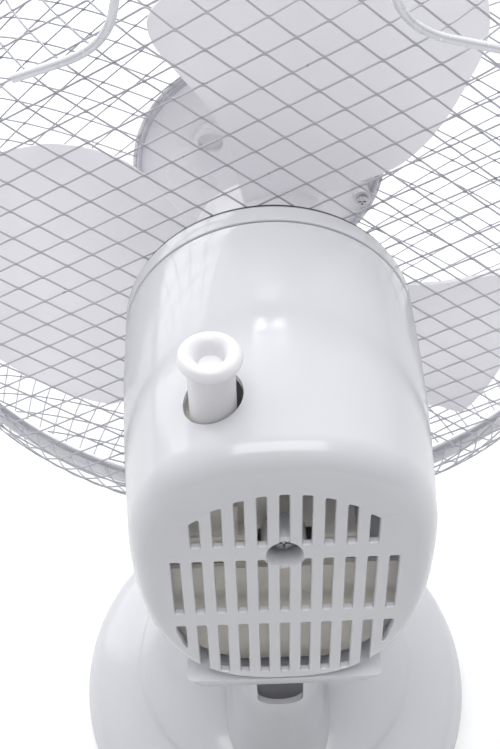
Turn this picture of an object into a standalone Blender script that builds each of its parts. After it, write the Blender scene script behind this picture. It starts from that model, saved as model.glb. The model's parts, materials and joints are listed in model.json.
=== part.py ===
"""A 30 cm oscillating desk fan on a short pedestal, with its motor, gearbox, linkage, guards and keys.

Sizes are in millimetres and MM turns them into metres. +Z is up and the fan blows towards -Y. The origin is
on the column's axis, on the underside of the base plate. Pieces of the head are placed from the motor's axis:
their "forward" distances run along -Y from the seam between the motor cover and its front bezel.
"""

import math

import bmesh
import bpy
from mathutils import Matrix, Vector

MM = 0.001
GAP = 0.3  # air between neighbouring pieces

# Driving dimensions of the head
AXIS_Z = 208.0  # height of the motor's axis
SEAM_Y = -50.0  # plane of the seam between cover and bezel; forward distances start here
SHAFT_R = 3.0
COLLAR_R = 55.2
WALL = 2.2  # moulded plastic
FACE_FORWARD = -107.6  # the cover's rear face, at the height of the axis
FACE_TILT = math.radians(7.2)  # the rear face leans forward at its top
FACE_INSET = 8.0  # the rounded edge between flank and face, across
EDGE_LENGTH = 15.6  # the same, along the axis
SLOT_PITCH = 6.755
SLOT_HALF = 1.45
BOSS_UP = 8.84  # the cover screw's place on the rear face

# Guards and blades
CAGE_R = 148.0
BAND_REAR = 36.0
BAND_FRONT = 46.0
MESH_FLAT = 11.2  # forward distance of the rear guard's flat middle
MESH_FLAT_R = 119.0
CAGE_FRONT = 115.0
CAGE_SQUARENESS = 3.5
PLATE_R = 58.5
WIRE = 1.7
LATTICE_SPOKES = 14
HUB_R = 30.0
BLADE_LEAD, BLADE_TRAIL = 50.0, 77.0  # forward distances of a blade's two edges
BLADE_BOW = 5.0  # how far the middle of a blade lies behind the line between its edges
# A blade's outline: radius, then the angles of its leading and trailing edge in degrees from up
BLADE_OUTLINE = ((25.0, -16.0, 44.0), (46.0, -14.0, 57.0), (61.0, -14.0, 62.0), (76.0, -16.5, 60.6),
                 (91.0, -20.0, 56.6), (104.0, -21.8, 52.2), (114.0, -20.0, 48.9), (121.5, -12.5, 45.5),
                 (128.0, -3.0, 41.0), (134.0, 5.5, 35.0), (138.5, 12.0, 28.5), (140.5, 17.0, 23.0))
PLATE_SCREW_R = 49.6
PLATE_SCREW_TURN = 105.6  # degrees from up to the first screw, as seen from behind
HANDLE_R = 1.5
HANDLE_HALF = 41.0
HANDLE_TOP = 188.0  # above the motor's axis
HANDLE_TURN = math.radians(1.65)  # the handle sits a little askew, turned about the motor's axis

# Oscillation gearing: worm on the shaft, worm wheel and pinion on the clutch spindle, crank gear below
SPINDLE_X, SPINDLE_Y = 20.0, 29.0
WORM_PITCH = 3.0
WHEEL_TEETH = 34
PINION_TEETH = 10
CRANK_TEETH = 40
CRANK_THROW = 8.0
ANCHOR_X = 12.5  # where the link rod meets the tilt bracket, beside the pan axis
LINK_Z = 164.0
WHEEL_Z = AXIS_Z - 2.4
CRANK_GEAR_Z = 198.2
TOWER_TOP = 245.0

# Pedestal
BASE_Y = -19.0  # centre of the oval base
BASE_STRETCH = 1.05  # its depth over its width
COLUMN_Y = 10.0
COLUMN_SCREW_X = 15.4
TILT_Z = 122.0
NECK_R = 17.4
PANEL_Y, PANEL_Z = -80.0, 30.5  # centre of the key panel's top
PANEL_TILT = math.radians(19.5)
KEY_PITCH = 18.6
KEY_WIDTH, KEY_DEPTH = 16.4, 18.0
CORNERS = [(sx, sy) for sx in (-1, 1) for sy in (-1, 1)]

for item in list(bpy.data.objects):
    bpy.data.objects.remove(item, do_unlink=True)

PARTS = bpy.data.collections.new("desk_fan")
CUTTERS = bpy.data.collections.new("cutters")
for group in (PARTS, CUTTERS):
    bpy.context.scene.collection.children.link(group)


# ---------------------------------------------------------------- materials

def paint(name, colour, roughness, metallic=0.0):
    """A Principled BSDF material with one colour."""
    made = bpy.data.materials.new(name)
    made.use_nodes = True
    shader = made.node_tree.nodes["Principled BSDF"]
    shader.inputs["Base Color"].default_value = (*colour, 1.0)
    shader.inputs["Roughness"].default_value = roughness
    shader.inputs["Metallic"].default_value = metallic
    return made


GLOSS_WHITE = paint("gloss_white", (0.86, 0.87, 0.88), 0.18)
SATIN_WHITE = paint("satin_white", (0.80, 0.79, 0.80), 0.40)
BLADE_GREY = paint("blade_grey", (0.74, 0.73, 0.75), 0.35)
WIRE_GREY = paint("wire_grey", (0.62, 0.62, 0.66), 0.35, 0.3)
HANDLE_WHITE = paint("handle_white", (0.82, 0.82, 0.84), 0.3)
GEARBOX_BEIGE = paint("gearbox_beige", (0.60, 0.52, 0.38), 0.5)
NYLON = paint("nylon", (0.82, 0.80, 0.72), 0.45)
STEEL = paint("steel", (0.55, 0.55, 0.57), 0.35, 1.0)
IRON = paint("iron", (0.22, 0.22, 0.23), 0.6, 0.8)
BRONZE = paint("bronze", (0.50, 0.33, 0.17), 0.4, 1.0)
COPPER = paint("copper", (0.62, 0.26, 0.11), 0.35, 1.0)
ALUMINIUM = paint("aluminium", (0.63, 0.64, 0.65), 0.5, 1.0)
BLACK_PLASTIC = paint("black_plastic", (0.03, 0.03, 0.03), 0.5)
RUBBER = paint("rubber", (0.05, 0.05, 0.05), 0.85)


# ---------------------------------------------------------------- making shapes

def forward(x, distance, up):
    """The point of the head at x, this far forward of the seam and this far above the motor's axis."""
    return Vector((x, SEAM_Y - distance, AXIS_Z + up))


def place(name, mesh, material):
    """A new object: a node of the fan, or a hidden cutter where there is no material."""
    made = bpy.data.objects.new(name, mesh)
    if material is None:
        made.hide_render = True
        made.display_type = "WIRE"
        CUTTERS.objects.link(made)
    else:
        mesh.materials.append(material)
        PARTS.objects.link(made)
    return made


def finished(name, shape, material):
    """Writes a bmesh in millimetres to a mesh in metres, with smooth round faces."""
    bmesh.ops.recalc_face_normals(shape, faces=shape.faces)
    bmesh.ops.scale(shape, vec=(MM, MM, MM), verts=shape.verts)
    mesh = bpy.data.meshes.new(name)
    shape.to_mesh(mesh)
    shape.free()
    mesh.shade_smooth()
    mesh.set_sharp_from_angle(angle=math.radians(35))
    return place(name, mesh, material)


def rod(name, radius, start, end, material=None, sides=16, end_radius=None):
    """A round bar, or a cone, between two points."""
    start, end = Vector(start), Vector(end)
    turn = (end - start).to_track_quat("Z", "Y").to_matrix().to_4x4()
    shape = bmesh.new()
    bmesh.ops.create_cone(
        shape, cap_ends=True, segments=sides, radius1=radius, radius2=end_radius or radius,
        depth=(end - start).length, matrix=Matrix.Translation((start + end) / 2) @ turn)
    return finished(name, shape, material)


def block(name, low, high, material=None, bevel=0.0, turn=None):
    """A box between two corners, turned about its own frame where turn is given."""
    low, high = Vector(low), Vector(high)
    shape = bmesh.new()
    bmesh.ops.create_cube(shape, size=1.0)
    bmesh.ops.scale(shape, vec=high - low, verts=shape.verts)
    bmesh.ops.translate(shape, vec=(low + high) / 2, verts=shape.verts)
    if turn is not None:
        bmesh.ops.transform(shape, matrix=turn, verts=shape.verts)
    made = finished(name, shape, material)
    if bevel:
        rounding = made.modifiers.new("bevel", "BEVEL")
        rounding.width = bevel * MM
        rounding.segments = 2
    return made


def lathe(name, outline, material=None, steps=32, axis="up", at=(0, 0, 0)):
    """Turns (radius, height) points, listed down the outer side. Points off the axis make a closed ring."""
    mesh = bpy.data.meshes.new(name)
    last = len(outline) - 1
    edges = [(i, i + 1) for i in range(last)]
    if outline[0][0] > 0:
        edges.append((last, 0))
    mesh.from_pydata([(r * MM, 0, h * MM) for r, h in outline], [], [])
    mesh.edges.add(len(edges))
    mesh.edges.foreach_set("vertices", [end for edge in edges for end in edge])
    made = place(name, mesh, material)
    made.location = Vector(at) * MM
    if axis == "forward":
        made.rotation_euler = (math.pi / 2, 0, 0)
        made.location = forward(*at) * MM
    elif axis == "back":
        made.rotation_euler = (-math.pi / 2, 0, 0)
    turning = made.modifiers.new("turn", "SCREW")
    turning.steps = turning.render_steps = steps
    turning.use_merge_vertices = True
    turning.merge_threshold = 1e-5
    return made


def loft(name, rings, material=None, close_first=False, close_last=False, wall=0.0):
    """A skin through rings of equal count. With a wall it becomes a shell that thickens inwards."""
    shape = bmesh.new()
    loops = [[shape.verts.new(point) for point in ring] for ring in rings]
    count = len(loops[0])
    for below, above in zip(loops, loops[1:]):
        for i in range(count):
            j = (i + 1) % count
            shape.faces.new((below[i], below[j], above[j], above[i]))
    if close_first:
        shape.faces.new(loops[0])
    if close_last:
        shape.faces.new(loops[-1])
    made = finished(name, shape, material)
    if wall:
        thicken = made.modifiers.new("wall", "SOLIDIFY")
        thicken.thickness = wall * MM
        thicken.offset = -1.0
        thicken.use_even_offset = True
    return made


def prism(name, outline, low, high, material=None):
    """A flat outline of (x, y) points, given thickness from low to high."""
    curve = bpy.data.curves.new(name, "CURVE")
    curve.dimensions = "2D"
    curve.fill_mode = "BOTH"
    curve.extrude = (high - low) / 2 * MM
    spline = curve.splines.new("POLY")
    spline.points.add(len(outline) - 1)
    for point, (x, y) in zip(spline.points, outline):
        point.co = (x * MM, y * MM, 0, 1)
    spline.use_cyclic_u = True
    return settled(name, curve, material, Matrix.Translation((0, 0, (low + high) / 2 * MM)))


def wire(name, points, radius, material, cyclic=False):
    """A round wire through the points, as a mesh that can be cut or joined."""
    curve = bpy.data.curves.new(name, "CURVE")
    curve.dimensions = "3D"
    curve.bevel_depth = radius * MM
    curve.bevel_resolution = 2
    curve.use_fill_caps = True
    spline = curve.splines.new("POLY")
    spline.points.add(len(points) - 1)
    for point, place_at in zip(spline.points, points):
        point.co = (*(Vector(place_at) * MM), 1)
    spline.use_cyclic_u = cyclic
    return settled(name, curve, material, Matrix.Identity(4))


def settled(name, curve, material, matrix):
    """A curve made into a welded mesh object, with the curve removed."""
    guide = bpy.data.objects.new(name + "_guide", curve)
    CUTTERS.objects.link(guide)
    graph = bpy.context.evaluated_depsgraph_get()
    mesh = bpy.data.meshes.new_from_object(guide.evaluated_get(graph))
    bpy.data.objects.remove(guide)
    shape = bmesh.new()
    shape.from_mesh(mesh)
    bmesh.ops.transform(shape, matrix=matrix, verts=shape.verts)
    bmesh.ops.remove_doubles(shape, verts=shape.verts, dist=1e-6)
    bmesh.ops.recalc_face_normals(shape, faces=shape.faces)
    shape.to_mesh(mesh)
    shape.free()
    mesh.name = name
    mesh.materials.clear()
    return place(name, mesh, material)


def change(piece, operation, tools):
    for tool in tools:
        step = piece.modifiers.new(tool.name, "BOOLEAN")
        step.operation = operation
        step.solver = "EXACT"
        step.object = tool
    return piece


def cut(piece, *tools):
    return change(piece, "DIFFERENCE", tools)


def join(piece, *tools):
    return change(piece, "UNION", tools)


def superellipse(width, top, bottom, squareness, count):
    """Points (x, up) round a rounded outline whose upper and lower halves may differ in height."""
    points = []
    for i in range(count):
        angle = 2 * math.pi * i / count
        across = math.copysign(abs(math.sin(angle)) ** (2 / squareness), math.sin(angle))
        rise = math.copysign(abs(math.cos(angle)) ** (2 / squareness), math.cos(angle))
        points.append((width * across, (top if rise > 0 else bottom) * rise))
    return points


def screw(name, tip, head, shank_r, head_r, head_h, material=STEEL, recess=True):
    """A cross-head screw: its head starts at the point head and its shank ends at tip."""
    head, tip = Vector(head), Vector(tip)
    inward = (tip - head).normalized()
    made = rod(name, head_r, head, head + inward * head_h, material, 10)
    join(made, rod(name + "_shank", shank_r, head + inward * head_h * 0.5, tip, None, 8))
    if recess:
        turn = (-inward).to_track_quat("Z", "Y").to_matrix().to_4x4()
        at = Matrix.Translation(head) @ turn
        reach, half, deep = head_r * 0.62, head_r * 0.14, head_h * 0.45
        cut(made,
            block(name + "_slot_a", (-reach, -half, -deep), (reach, half, 1), turn=at),
            block(name + "_slot_b", (-half, -reach, -deep), (half, reach, 1), turn=at))
    return made


# ---------------------------------------------------------------- pedestal

def base_rings(grow=0.0, floor=1.0):
    """Rings of the oval dome, from its rim up to its crown, with a low step where the middle is raised."""
    profile = [(93.8, floor), (93.8, 5.5), (92.2, 10.0), (87.5, 15.0), (68.0, 24.0),
               (65.6, 26.3), (45.0, 32.4), (20.0, 34.8)]
    rings = []
    for radius, height in profile:
        outline = superellipse(radius + grow, radius + grow, radius + grow, 2.0, 32)
        rings.append([(x, BASE_Y + y * BASE_STRETCH, height + grow) for x, y in outline])
    return rings


def panel_frame():
    """The frame of the tilted key panel: its origin on the panel's top face, local z out of it."""
    turn = Matrix.Rotation(PANEL_TILT, 4, "X")
    return Matrix.Translation((0, PANEL_Y, PANEL_Z)) @ turn


def screw_posts():
    return [(sx * 58.0, BASE_Y + sy * 62.0) for sx, sy in CORNERS]


def make_base():
    shell = loft("base_shell", base_rings(), GLOSS_WHITE, close_last=True, wall=2.4)
    for i, (x, y) in enumerate(screw_posts()):
        join(shell, rod(f"post_{i}", 4.2, (x, y, 3.0), (x, y, 14.6), None, 12))
        cut(shell, rod(f"post_bore_{i}", 1.9, (x, y, 1.0), (x, y, 12.0), None, 8))
    cut(shell,
        block("panel_opening", (-30.2, -13.2, -14), (30.2, 13.2, 12), turn=panel_frame()),
        rod("cable_way", 11.0, (0, COLUMN_Y, 20), (0, COLUMN_Y, 45), None, 24),
        rod("gland_hole", 4.4, (0, BASE_Y + 80, 8.5), (0, BASE_Y + 110, 8.5), None, 16))
    for side in (-1, 1):
        x = side * COLUMN_SCREW_X
        cut(shell, rod(f"column_screw_hole_{side}", 2.0, (x, COLUMN_Y, 20), (x, COLUMN_Y, 45), None, 12))
    return shell


def column_rings():
    """(height, half width, half depth, centre) of the column, flaring where it meets the dome."""
    stations = ((18, 31.0, 42.0), (26, 27.0, 38.0), (32, 24.4, 35.0), (40, 22.4, 32.0), (52, 20.6, 29.8),
                (64, 19.2, 28.6), (78, 18.4, 27.8), (100, 18.2, 25.8), (122, 19.4, 24.0), (130, 18.6, 22.4))
    rings = []
    for height, width, depth in stations:
        middle = COLUMN_Y - 4.0 * max(0.0, (height - 75) / 55)
        outline = superellipse(width, depth, depth, 2.5, 24)
        rings.append([(x, middle + y, height) for x, y in outline])
    return rings


def make_column():
    column = loft("column", column_rings(), GLOSS_WHITE, wall=2.4)
    for side in (-1, 1):
        x = side * COLUMN_SCREW_X
        join(column, rod(f"column_boss_{side}", 4.2, (x, COLUMN_Y, 20), (x, COLUMN_Y, 49), None, 12))
        cut(column, rod(f"column_bore_{side}", 1.8, (x, COLUMN_Y, 15), (x, COLUMN_Y, 47.5), None, 10))
    return cut(
        column,
        loft("dome_envelope", base_rings(grow=GAP, floor=-5.0), close_first=True, close_last=True),
        block("rear_window", (-9.5, COLUMN_Y + 12, 80.5), (9.5, COLUMN_Y + 40, 104)),
        rod("tilt_bore", 4.3, (-40, 0, TILT_Z), (40, 0, TILT_Z), None, 16))


def make_base_details():
    plate = prism("base_plate",
                  [(x, BASE_Y + y * BASE_STRETCH) for x, y in superellipse(90.6, 90.6, 90.6, 2.0, 28)],
                  0.0, 2.4, SATIN_WHITE)
    for i, (x, y) in enumerate(screw_posts()):
        cut(plate,
            rod(f"plate_hole_{i}", 2.0, (x, y, -1), (x, y, 4), None, 12),
            rod(f"counterbore_{i}", 3.6, (x, y, -1), (x, y, 1.5), None, 16))
        screw(f"base_screw_{i + 1}", (x, y, 11.0), (x, y, 0.15), 1.5, 3.1, 1.2, recess=False)
    for i, (sx, sy) in enumerate(CORNERS):
        x, y = sx * 46.0, BASE_Y + sy * 70.0
        lathe(f"rubber_foot_{i + 1}", [(0, -GAP), (7, -GAP), (7, -1.6), (6.3, -2.3), (0, -2.3)],
              RUBBER, 16, at=(x, y, 0))
    block("ballast_plate", (-42, -52, 2.8), (42, 40, 8.0), IRON, bevel=1.5)
    for side, name in ((-1, "column_screw_1"), (1, "column_screw_2")):
        x = side * COLUMN_SCREW_X
        screw(name, (x, COLUMN_Y, 46.0), (x, COLUMN_Y, 25.0), 1.5, 3.2, 2.0, recess=False)
    lathe("cord_gland",
          [(6.6, 11.8), (6.6, 9.8), (4.0, 9.8), (4.0, -3.0), (2.4, -3.0), (2.4, 11.8)],
          BLACK_PLASTIC, 16, "back", at=(0, BASE_Y + 89.5, 8.5))
    return plate


def make_keys():
    """The key panel, its three piano keys and the switch block under them."""
    at = panel_frame()
    frame = block("key_frame", (-29.8, -12.8, -6.0), (29.8, 12.8, 1.2), SATIN_WHITE, bevel=0.8, turn=at)
    half_x, half_y = KEY_WIDTH / 2, KEY_DEPTH / 2
    for i, name in enumerate(("key_off", "key_low", "key_high")):
        x = (i - 1) * KEY_PITCH
        cut(frame, block(name + "_window", (x - half_x - GAP, -half_y - GAP, -9),
                         (x + half_x + GAP, half_y + GAP, 5), turn=at))
        key = block(name, (x - half_x, -half_y, -4.5), (x + half_x, half_y, 6.0), SATIN_WHITE, turn=at)
        for corner in key.data.vertices:
            local = at.inverted() @ (corner.co / MM)
            if local.z > 0 and local.y > 0:
                corner.co = at @ Vector((local.x, local.y, 3.6)) * MM
        rounding = key.modifiers.new("bevel", "BEVEL")
        rounding.width = 0.9 * MM
        rounding.segments = 2
    switch = block("switch_block", (-26, -7.5, -19.5), (26, 7.5, -10.0), BLACK_PLASTIC, bevel=0.6, turn=at)
    for i in range(3):
        x = (i - 1) * KEY_PITCH
        join(switch, block(f"contact_{i}", (x - 2.5, -2, -11), (x + 2.5, 2, -8.3), turn=at))
    return frame


def make_neck():
    """The tilt bracket, whose tongue hangs on the tilt bolt and whose top carries the pan bush."""
    bracket = rod("tilt_bracket", NECK_R, (0, 0, 141), (0, 0, 152), SATIN_WHITE, 32)
    join(bracket,
         rod("bush_socket", 10.5, (0, 0, 129), (0, 0, 142), None, 24),
         block("tongue", (-11.5, -8.0, 113), (11.5, 8.0, 132)),
         rod("tongue_foot", 7.6, (-11.0, 0, TILT_Z - 4), (11.0, 0, TILT_Z - 4), None, 16),
         rod("anchor_post", 2.0, (ANCHOR_X, 0, 150), (ANCHOR_X, 0, LINK_Z - 0.6), None, 12))
    cut(bracket,
        rod("bush_seat", 7.5, (0, 0, 133), (0, 0, 160), None, 24),
        rod("tongue_bore", 4.3, (-30, 0, TILT_Z), (30, 0, TILT_Z), None, 16))
    lathe("pan_bush", [(7.2, 152.6), (7.2, 133.4), (5.3, 133.4), (5.3, 152.6)], NYLON, 24)
    bolt = rod("tilt_bolt", 4.0, (-21, 0, TILT_Z), (25.5, 0, TILT_Z), STEEL, 16)
    join(bolt, rod("bolt_head", 6.5, (-23.5, 0, TILT_Z), (-20.4, 0, TILT_Z), None, 6))
    nut = rod("tilt_nut", 6.8, (20.4, 0, TILT_Z), (24.4, 0, TILT_Z), STEEL, 6)
    cut(nut, rod("nut_bore", 4.3, (18, 0, TILT_Z), (28, 0, TILT_Z), None, 16))
    return bracket


# ---------------------------------------------------------------- motor cover

def cover_rings(grow=0.0):
    """Rings of the cover: round at the seam, deeper and squarer below to the rear, then a rounded edge."""
    stations = ((0.0, 55.0, 55.0, 55.8, 2.0), (-28.0, 54.0, 54.0, 57.6, 2.15),
                (-60.0, 52.2, 52.5, 59.0, 2.35), (-92.0, 48.8, 49.8, 59.5, 2.5))
    rings = []
    for distance, width, top, bottom, squareness in stations:
        outline = superellipse(width + grow, top + grow, bottom + grow, squareness, 32)
        rings.append([forward(x, distance, up) for x, up in outline])
    last, width, top, bottom, squareness = stations[-1]
    for i in range(1, 5):
        angle = math.radians(22.5 * i)
        inset = FACE_INSET * (1 - math.cos(angle)) - grow
        outline = superellipse(width - inset, top - inset, bottom - inset, squareness, 32)
        rings.append([
            forward(x, last - (EDGE_LENGTH + grow) * math.sin(angle)
                    + math.tan(FACE_TILT) * up * math.sin(angle), up)
            for x, up in outline])
    return rings


def face_frame():
    """The frame of the cover's rear face: local z out of the face, local y up it, origin on the axis."""
    lean = Matrix.Rotation(-math.pi / 2 + FACE_TILT, 4, "X") @ Matrix.Rotation(math.pi, 4, "Z")
    return Matrix.Translation(forward(0, FACE_FORWARD, 0)) @ lean


def slot_outlines():
    """Corner points of each ventilation slot, in three rows whose ends follow the face's outline."""
    def crown(x):
        return -6.8 + math.sqrt(41.5 ** 2 - x ** 2)

    def sill(x):
        return -49.7 + 0.0028 * x ** 2

    rows = []
    for k in range(-5, 6):
        left, right = k * SLOT_PITCH - SLOT_HALF, k * SLOT_PITCH + SLOT_HALF
        if abs(k) < 5:
            rows.append([(left, 13.4), (right, 13.4), (right, crown(right)), (left, crown(left))])
            rows.append([(left, sill(left)), (right, sill(right)), (right, -23.7), (left, -23.7)])
        else:
            outer, inner = (left, right) if k < 0 else (right, left)
            rows.append([(inner, -37.5), (outer, -26.5), (outer, -23.7), (inner, -23.7)])
        rows.append([(left, -17.5), (right, -17.5), (right, 7.0), (left, 7.0)])
    return rows


def make_slot_cutter():
    shape = bmesh.new()
    for outline in slot_outlines():
        inner = [shape.verts.new((x, y, -12)) for x, y in outline]
        outer = [shape.verts.new((x, y, 6)) for x, y in outline]
        for i in range(4):
            j = (i + 1) % 4
            shape.faces.new((inner[i], inner[j], outer[j], outer[i]))
        shape.faces.new(inner)
        shape.faces.new(outer)
    bmesh.ops.transform(shape, matrix=face_frame(), verts=shape.verts)
    return finished("slots", shape, None)


def knob_hole_outline():
    """An oval that reaches further forward of the knob than behind it."""
    return [(SPINDLE_X + x, SPINDLE_Y - 2.7 + y) for x, y in superellipse(9.2, 10.2, 10.2, 2.0, 28)]


def make_cover():
    cover = loft("motor_cover", cover_rings(), GLOSS_WHITE, close_last=True, wall=WALL)
    at = face_frame()
    boss = [at @ Vector((0, BOSS_UP, depth)) for depth in (-0.35, -11.4)]
    recess = [at @ Vector((0, BOSS_UP, depth)) for depth in (4.0, -7.6)]
    bore = [at @ Vector((0, BOSS_UP, depth)) for depth in (0.0, -15.0)]
    cut(cover, make_slot_cutter())
    join(cover, rod("boss", 7.1, *boss, None, 24))
    cut(cover,
        rod("boss_recess", 5.4, *recess, None, 24),
        rod("boss_bore", 2.1, *bore, None, 12),
        prism("knob_hole", knob_hole_outline(), AXIS_Z + 25, AXIS_Z + 70),
        rod("neck_hole", NECK_R + 0.6, (0, 0, 140), (0, 0, 160), None, 28))
    head, tip = (at @ Vector((0, BOSS_UP, depth)) for depth in (-5.2, -12.0))
    screw("cover_screw", tip, head, 1.7, 4.1, 2.2)
    return cover


def make_bottom_plate():
    """The tray under the motor cover, hollowed to the cover's round belly."""
    low, high = AXIS_Z - 64.0, AXIS_Z - 50.0
    rear, front = 62.0, -46.0
    rings = []
    for height, half, back in ((low, 27.5, rear - 1.5), (low + 1.5, 29.0, rear), (high, 37.0, rear + 2.5)):
        rings.append([(-half, front, height), (half, front, height), (half, back, height),
                      (-half, back, height)])
    plate = loft("bottom_plate", rings, GLOSS_WHITE, close_first=True, close_last=True)
    return cut(
        plate,
        loft("cover_envelope", cover_rings(grow=0.35), close_first=True, close_last=True),
        block("trim", (-60, -80, AXIS_Z - 54.5), (60, 90, AXIS_Z - 40)),
        rod("plate_neck_hole", NECK_R + 0.6, (0, 0, 140), (0, 0, 160), None, 28))


def make_bezel():
    outline = [(23.5, 21.0), (23.5, 9.6), (53.4, 9.6), (54.8, 9.0), (COLLAR_R, 7.6), (COLLAR_R, 0.5),
               (52.8, 0.5), (52.8, 7.2), (20.0, 7.2), (20.0, 21.0)]
    return lathe("front_bezel", outline, GLOSS_WHITE, 30, "forward")


# ---------------------------------------------------------------- motor and gearbox

def make_bell(name, face, rim, outward):
    """A cup-shaped end bell, face to rim, with a seat for the bush. outward is +1 for the front."""
    t = 2.0 * outward
    outline = [(8.0, face + 2 * t), (8.0, face), (37.0, face), (39.0, face - t), (39.0, rim), (37.0, rim),
               (37.0, face - t), (5.3, face - t), (5.3, face + 2 * t)]
    if outward < 0:
        outline.reverse()
    return lathe(name, outline, ALUMINIUM, 20, "forward")


def tube(name, inner, outer, low, high, material, steps=24, axis="forward"):
    return lathe(name, [(outer, high), (outer, low), (inner, low), (inner, high)], material, steps, axis)


def make_motor():
    tube("stator_core", 17.8, 36.0, -36.0, -12.0, IRON, 24)
    tube("stator_coil_front", 20.0, 32.0, -11.4, -2.6, COPPER, 20)
    tube("stator_coil_rear", 20.0, 32.0, -45.4, -36.6, COPPER, 20)
    make_bell("front_bell", 0.4, -11.6, 1)
    make_bell("rear_bell", -48.4, -36.4, -1)
    tube("front_bush", 3.3, 5.0, -2.0, 4.8, BRONZE, 16)
    tube("rear_bush", 3.3, 5.0, -52.6, -46.0, BRONZE, 16)
    tube("rotor_core", 3.3, 17.2, -35.5, -12.5, STEEL, 24)
    bracket = block("motor_bracket", (-11, -36, 157.8), (7, 10, 161.2), ALUMINIUM, bevel=0.6)
    join(bracket,
         block("bracket_pad", (-10, -34, 160), (5, -16, AXIS_Z - 36.4)),
         rod("pan_pin", 5.0, (0, 0, 135.0), (0, 0, 160), None, 24))


def make_worm():
    """The worm as a grid: at every point the thread's height follows the helix, eight steps to a turn."""
    steps = 8
    heights = (3.0, 3.0, 3.3, 4.2, 4.2, 3.3, 3.0, 3.0)
    turns = 4
    crest = 3.5  # the step between the two crest points
    shape = bmesh.new()
    rings = []
    for i in range(turns * steps + 1):
        y = SPINDLE_Y - turns * WORM_PITCH / 2 + WORM_PITCH * i / steps
        ring = []
        for j in range(steps):
            angle = 2 * math.pi * j / steps  # from +Z towards +X
            middle = SPINDLE_Y + WORM_PITCH / 2 + WORM_PITCH * (angle - math.pi / 2) / (2 * math.pi)
            phase = round(steps * (y - middle) / WORM_PITCH + crest + 0.5) % steps
            radius = heights[phase]
            ring.append(shape.verts.new((radius * math.sin(angle), y, AXIS_Z + radius * math.cos(angle))))
        rings.append(ring)
    for near, far in zip(rings, rings[1:]):
        for j in range(steps):
            k = (j + 1) % steps
            shape.faces.new((near[j], near[k], far[k]))
            shape.faces.new((near[j], far[k], far[j]))
    shape.faces.new(rings[0])
    shape.faces.new(rings[-1])
    return finished("worm_thread", shape, None)


def make_shaft():
    shaft = rod("rotor_shaft", SHAFT_R, forward(0, 71, 0), forward(0, -66, 0), STEEL, 16)
    join(shaft,
         rod("shaft_tail", 2.6, forward(0, -64, 0), forward(0, -91.5, 0), None, 12),
         make_worm())
    return shaft


def gear_outline(centre, teeth, root, tip, root_share, tip_share, first=0.0):
    """Points of a gear: each tooth has a wide foot and a narrow tip, as shares of the tooth pitch."""
    points = []
    for i in range(teeth):
        middle = 2 * math.pi * i / teeth + first
        for radius, share in ((root, -root_share), (tip, -tip_share), (tip, tip_share), (root, root_share)):
            angle = middle + math.pi * share / teeth
            points.append((centre[0] + radius * math.cos(angle), centre[1] + radius * math.sin(angle)))
    return points


def make_gears():
    """Worm wheel with its pinion, and the crank gear that the pinion drives."""
    spindle = (SPINDLE_X, SPINDLE_Y)
    wheel = prism("worm_wheel", gear_outline(spindle, WHEEL_TEETH, 15.2, 16.6, 0.46, 0.2),
                  WHEEL_Z, WHEEL_Z + 4.8, NYLON)
    half_tooth = math.pi / PINION_TEETH
    pinion = prism("pinion", gear_outline(spindle, PINION_TEETH, 3.2, 4.6, 0.46, 0.22, half_tooth),
                   CRANK_GEAR_Z - 0.4, WHEEL_Z + 1)
    join(wheel, pinion)
    cut(wheel, rod("wheel_bore", 1.85, (*spindle, 180), (*spindle, 230), None, 12))
    gear = prism("crank_gear", gear_outline((0, SPINDLE_Y), CRANK_TEETH, 15.2, 16.55, 0.46, 0.22),
                 CRANK_GEAR_Z, CRANK_GEAR_Z + 3.6, NYLON)
    join(gear, rod("crank_shaft", 3.0, (0, SPINDLE_Y, LINK_Z + 8.5), (0, SPINDLE_Y, CRANK_GEAR_Z + 1),
                   None, 16))
    disc = rod("crank_disc", 12.0, (0, SPINDLE_Y, LINK_Z + 4.5), (0, SPINDLE_Y, LINK_Z + 8.0), NYLON, 24)
    join(disc, rod("crank_pin", 1.8, (CRANK_THROW, SPINDLE_Y, LINK_Z - 1.0),
                   (CRANK_THROW, SPINDLE_Y, LINK_Z + 5.5), None, 12))
    return wheel


def make_link():
    """The flat rod from the crank pin to a point just above the bracket's anchor post."""
    pin, post = Vector((CRANK_THROW, SPINDLE_Y)), Vector((ANCHOR_X + CRANK_THROW, 0))
    along = (post - pin).normalized()
    side = Vector((-along.y, along.x)) * 2.2
    outline = [pin + side, post + side, post - side, pin - side]
    link = prism("link_rod", [tuple(p) for p in outline], LINK_Z + 0.2, LINK_Z + 2.4, STEEL)
    for name, spot in (("crank_eye", pin), ("anchor_eye", post)):
        join(link, rod(name, 3.8, (*spot, LINK_Z + 0.2), (*spot, LINK_Z + 2.4), None, 16))
    cut(link,
        rod("crank_eye_bore", 2.15, (*pin, LINK_Z - 2), (*pin, LINK_Z + 5), None, 12),
        rod("anchor_eye_bore", 2.3, (*post, LINK_Z - 2), (*post, LINK_Z + 5), None, 12))
    return link


def boss_notch(name):
    """Room for the cover screw's boss in the gearbox's rear wall and lid."""
    return block(name, (-9.5, 44.2, 206.5), (9.5, 60.0, 225.0))


def rear_plate():
    """A plate on the gear case's rear wall, which fills the cover's outline just inside its slots."""
    at = face_frame()
    half = [(40.5, -2.5), (39.0, -22.5), (34.5, -34.5), (28.0, -43.0), (21.5, -47.5), (14.0, -50.5)]
    outline = half + [(-x, up) for x, up in reversed(half)]
    return loft("rear_plate", [[at @ Vector((x, up, depth)) for x, up in outline] for depth in (-8.1, -6.5)],
                close_first=True, close_last=True)


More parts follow.
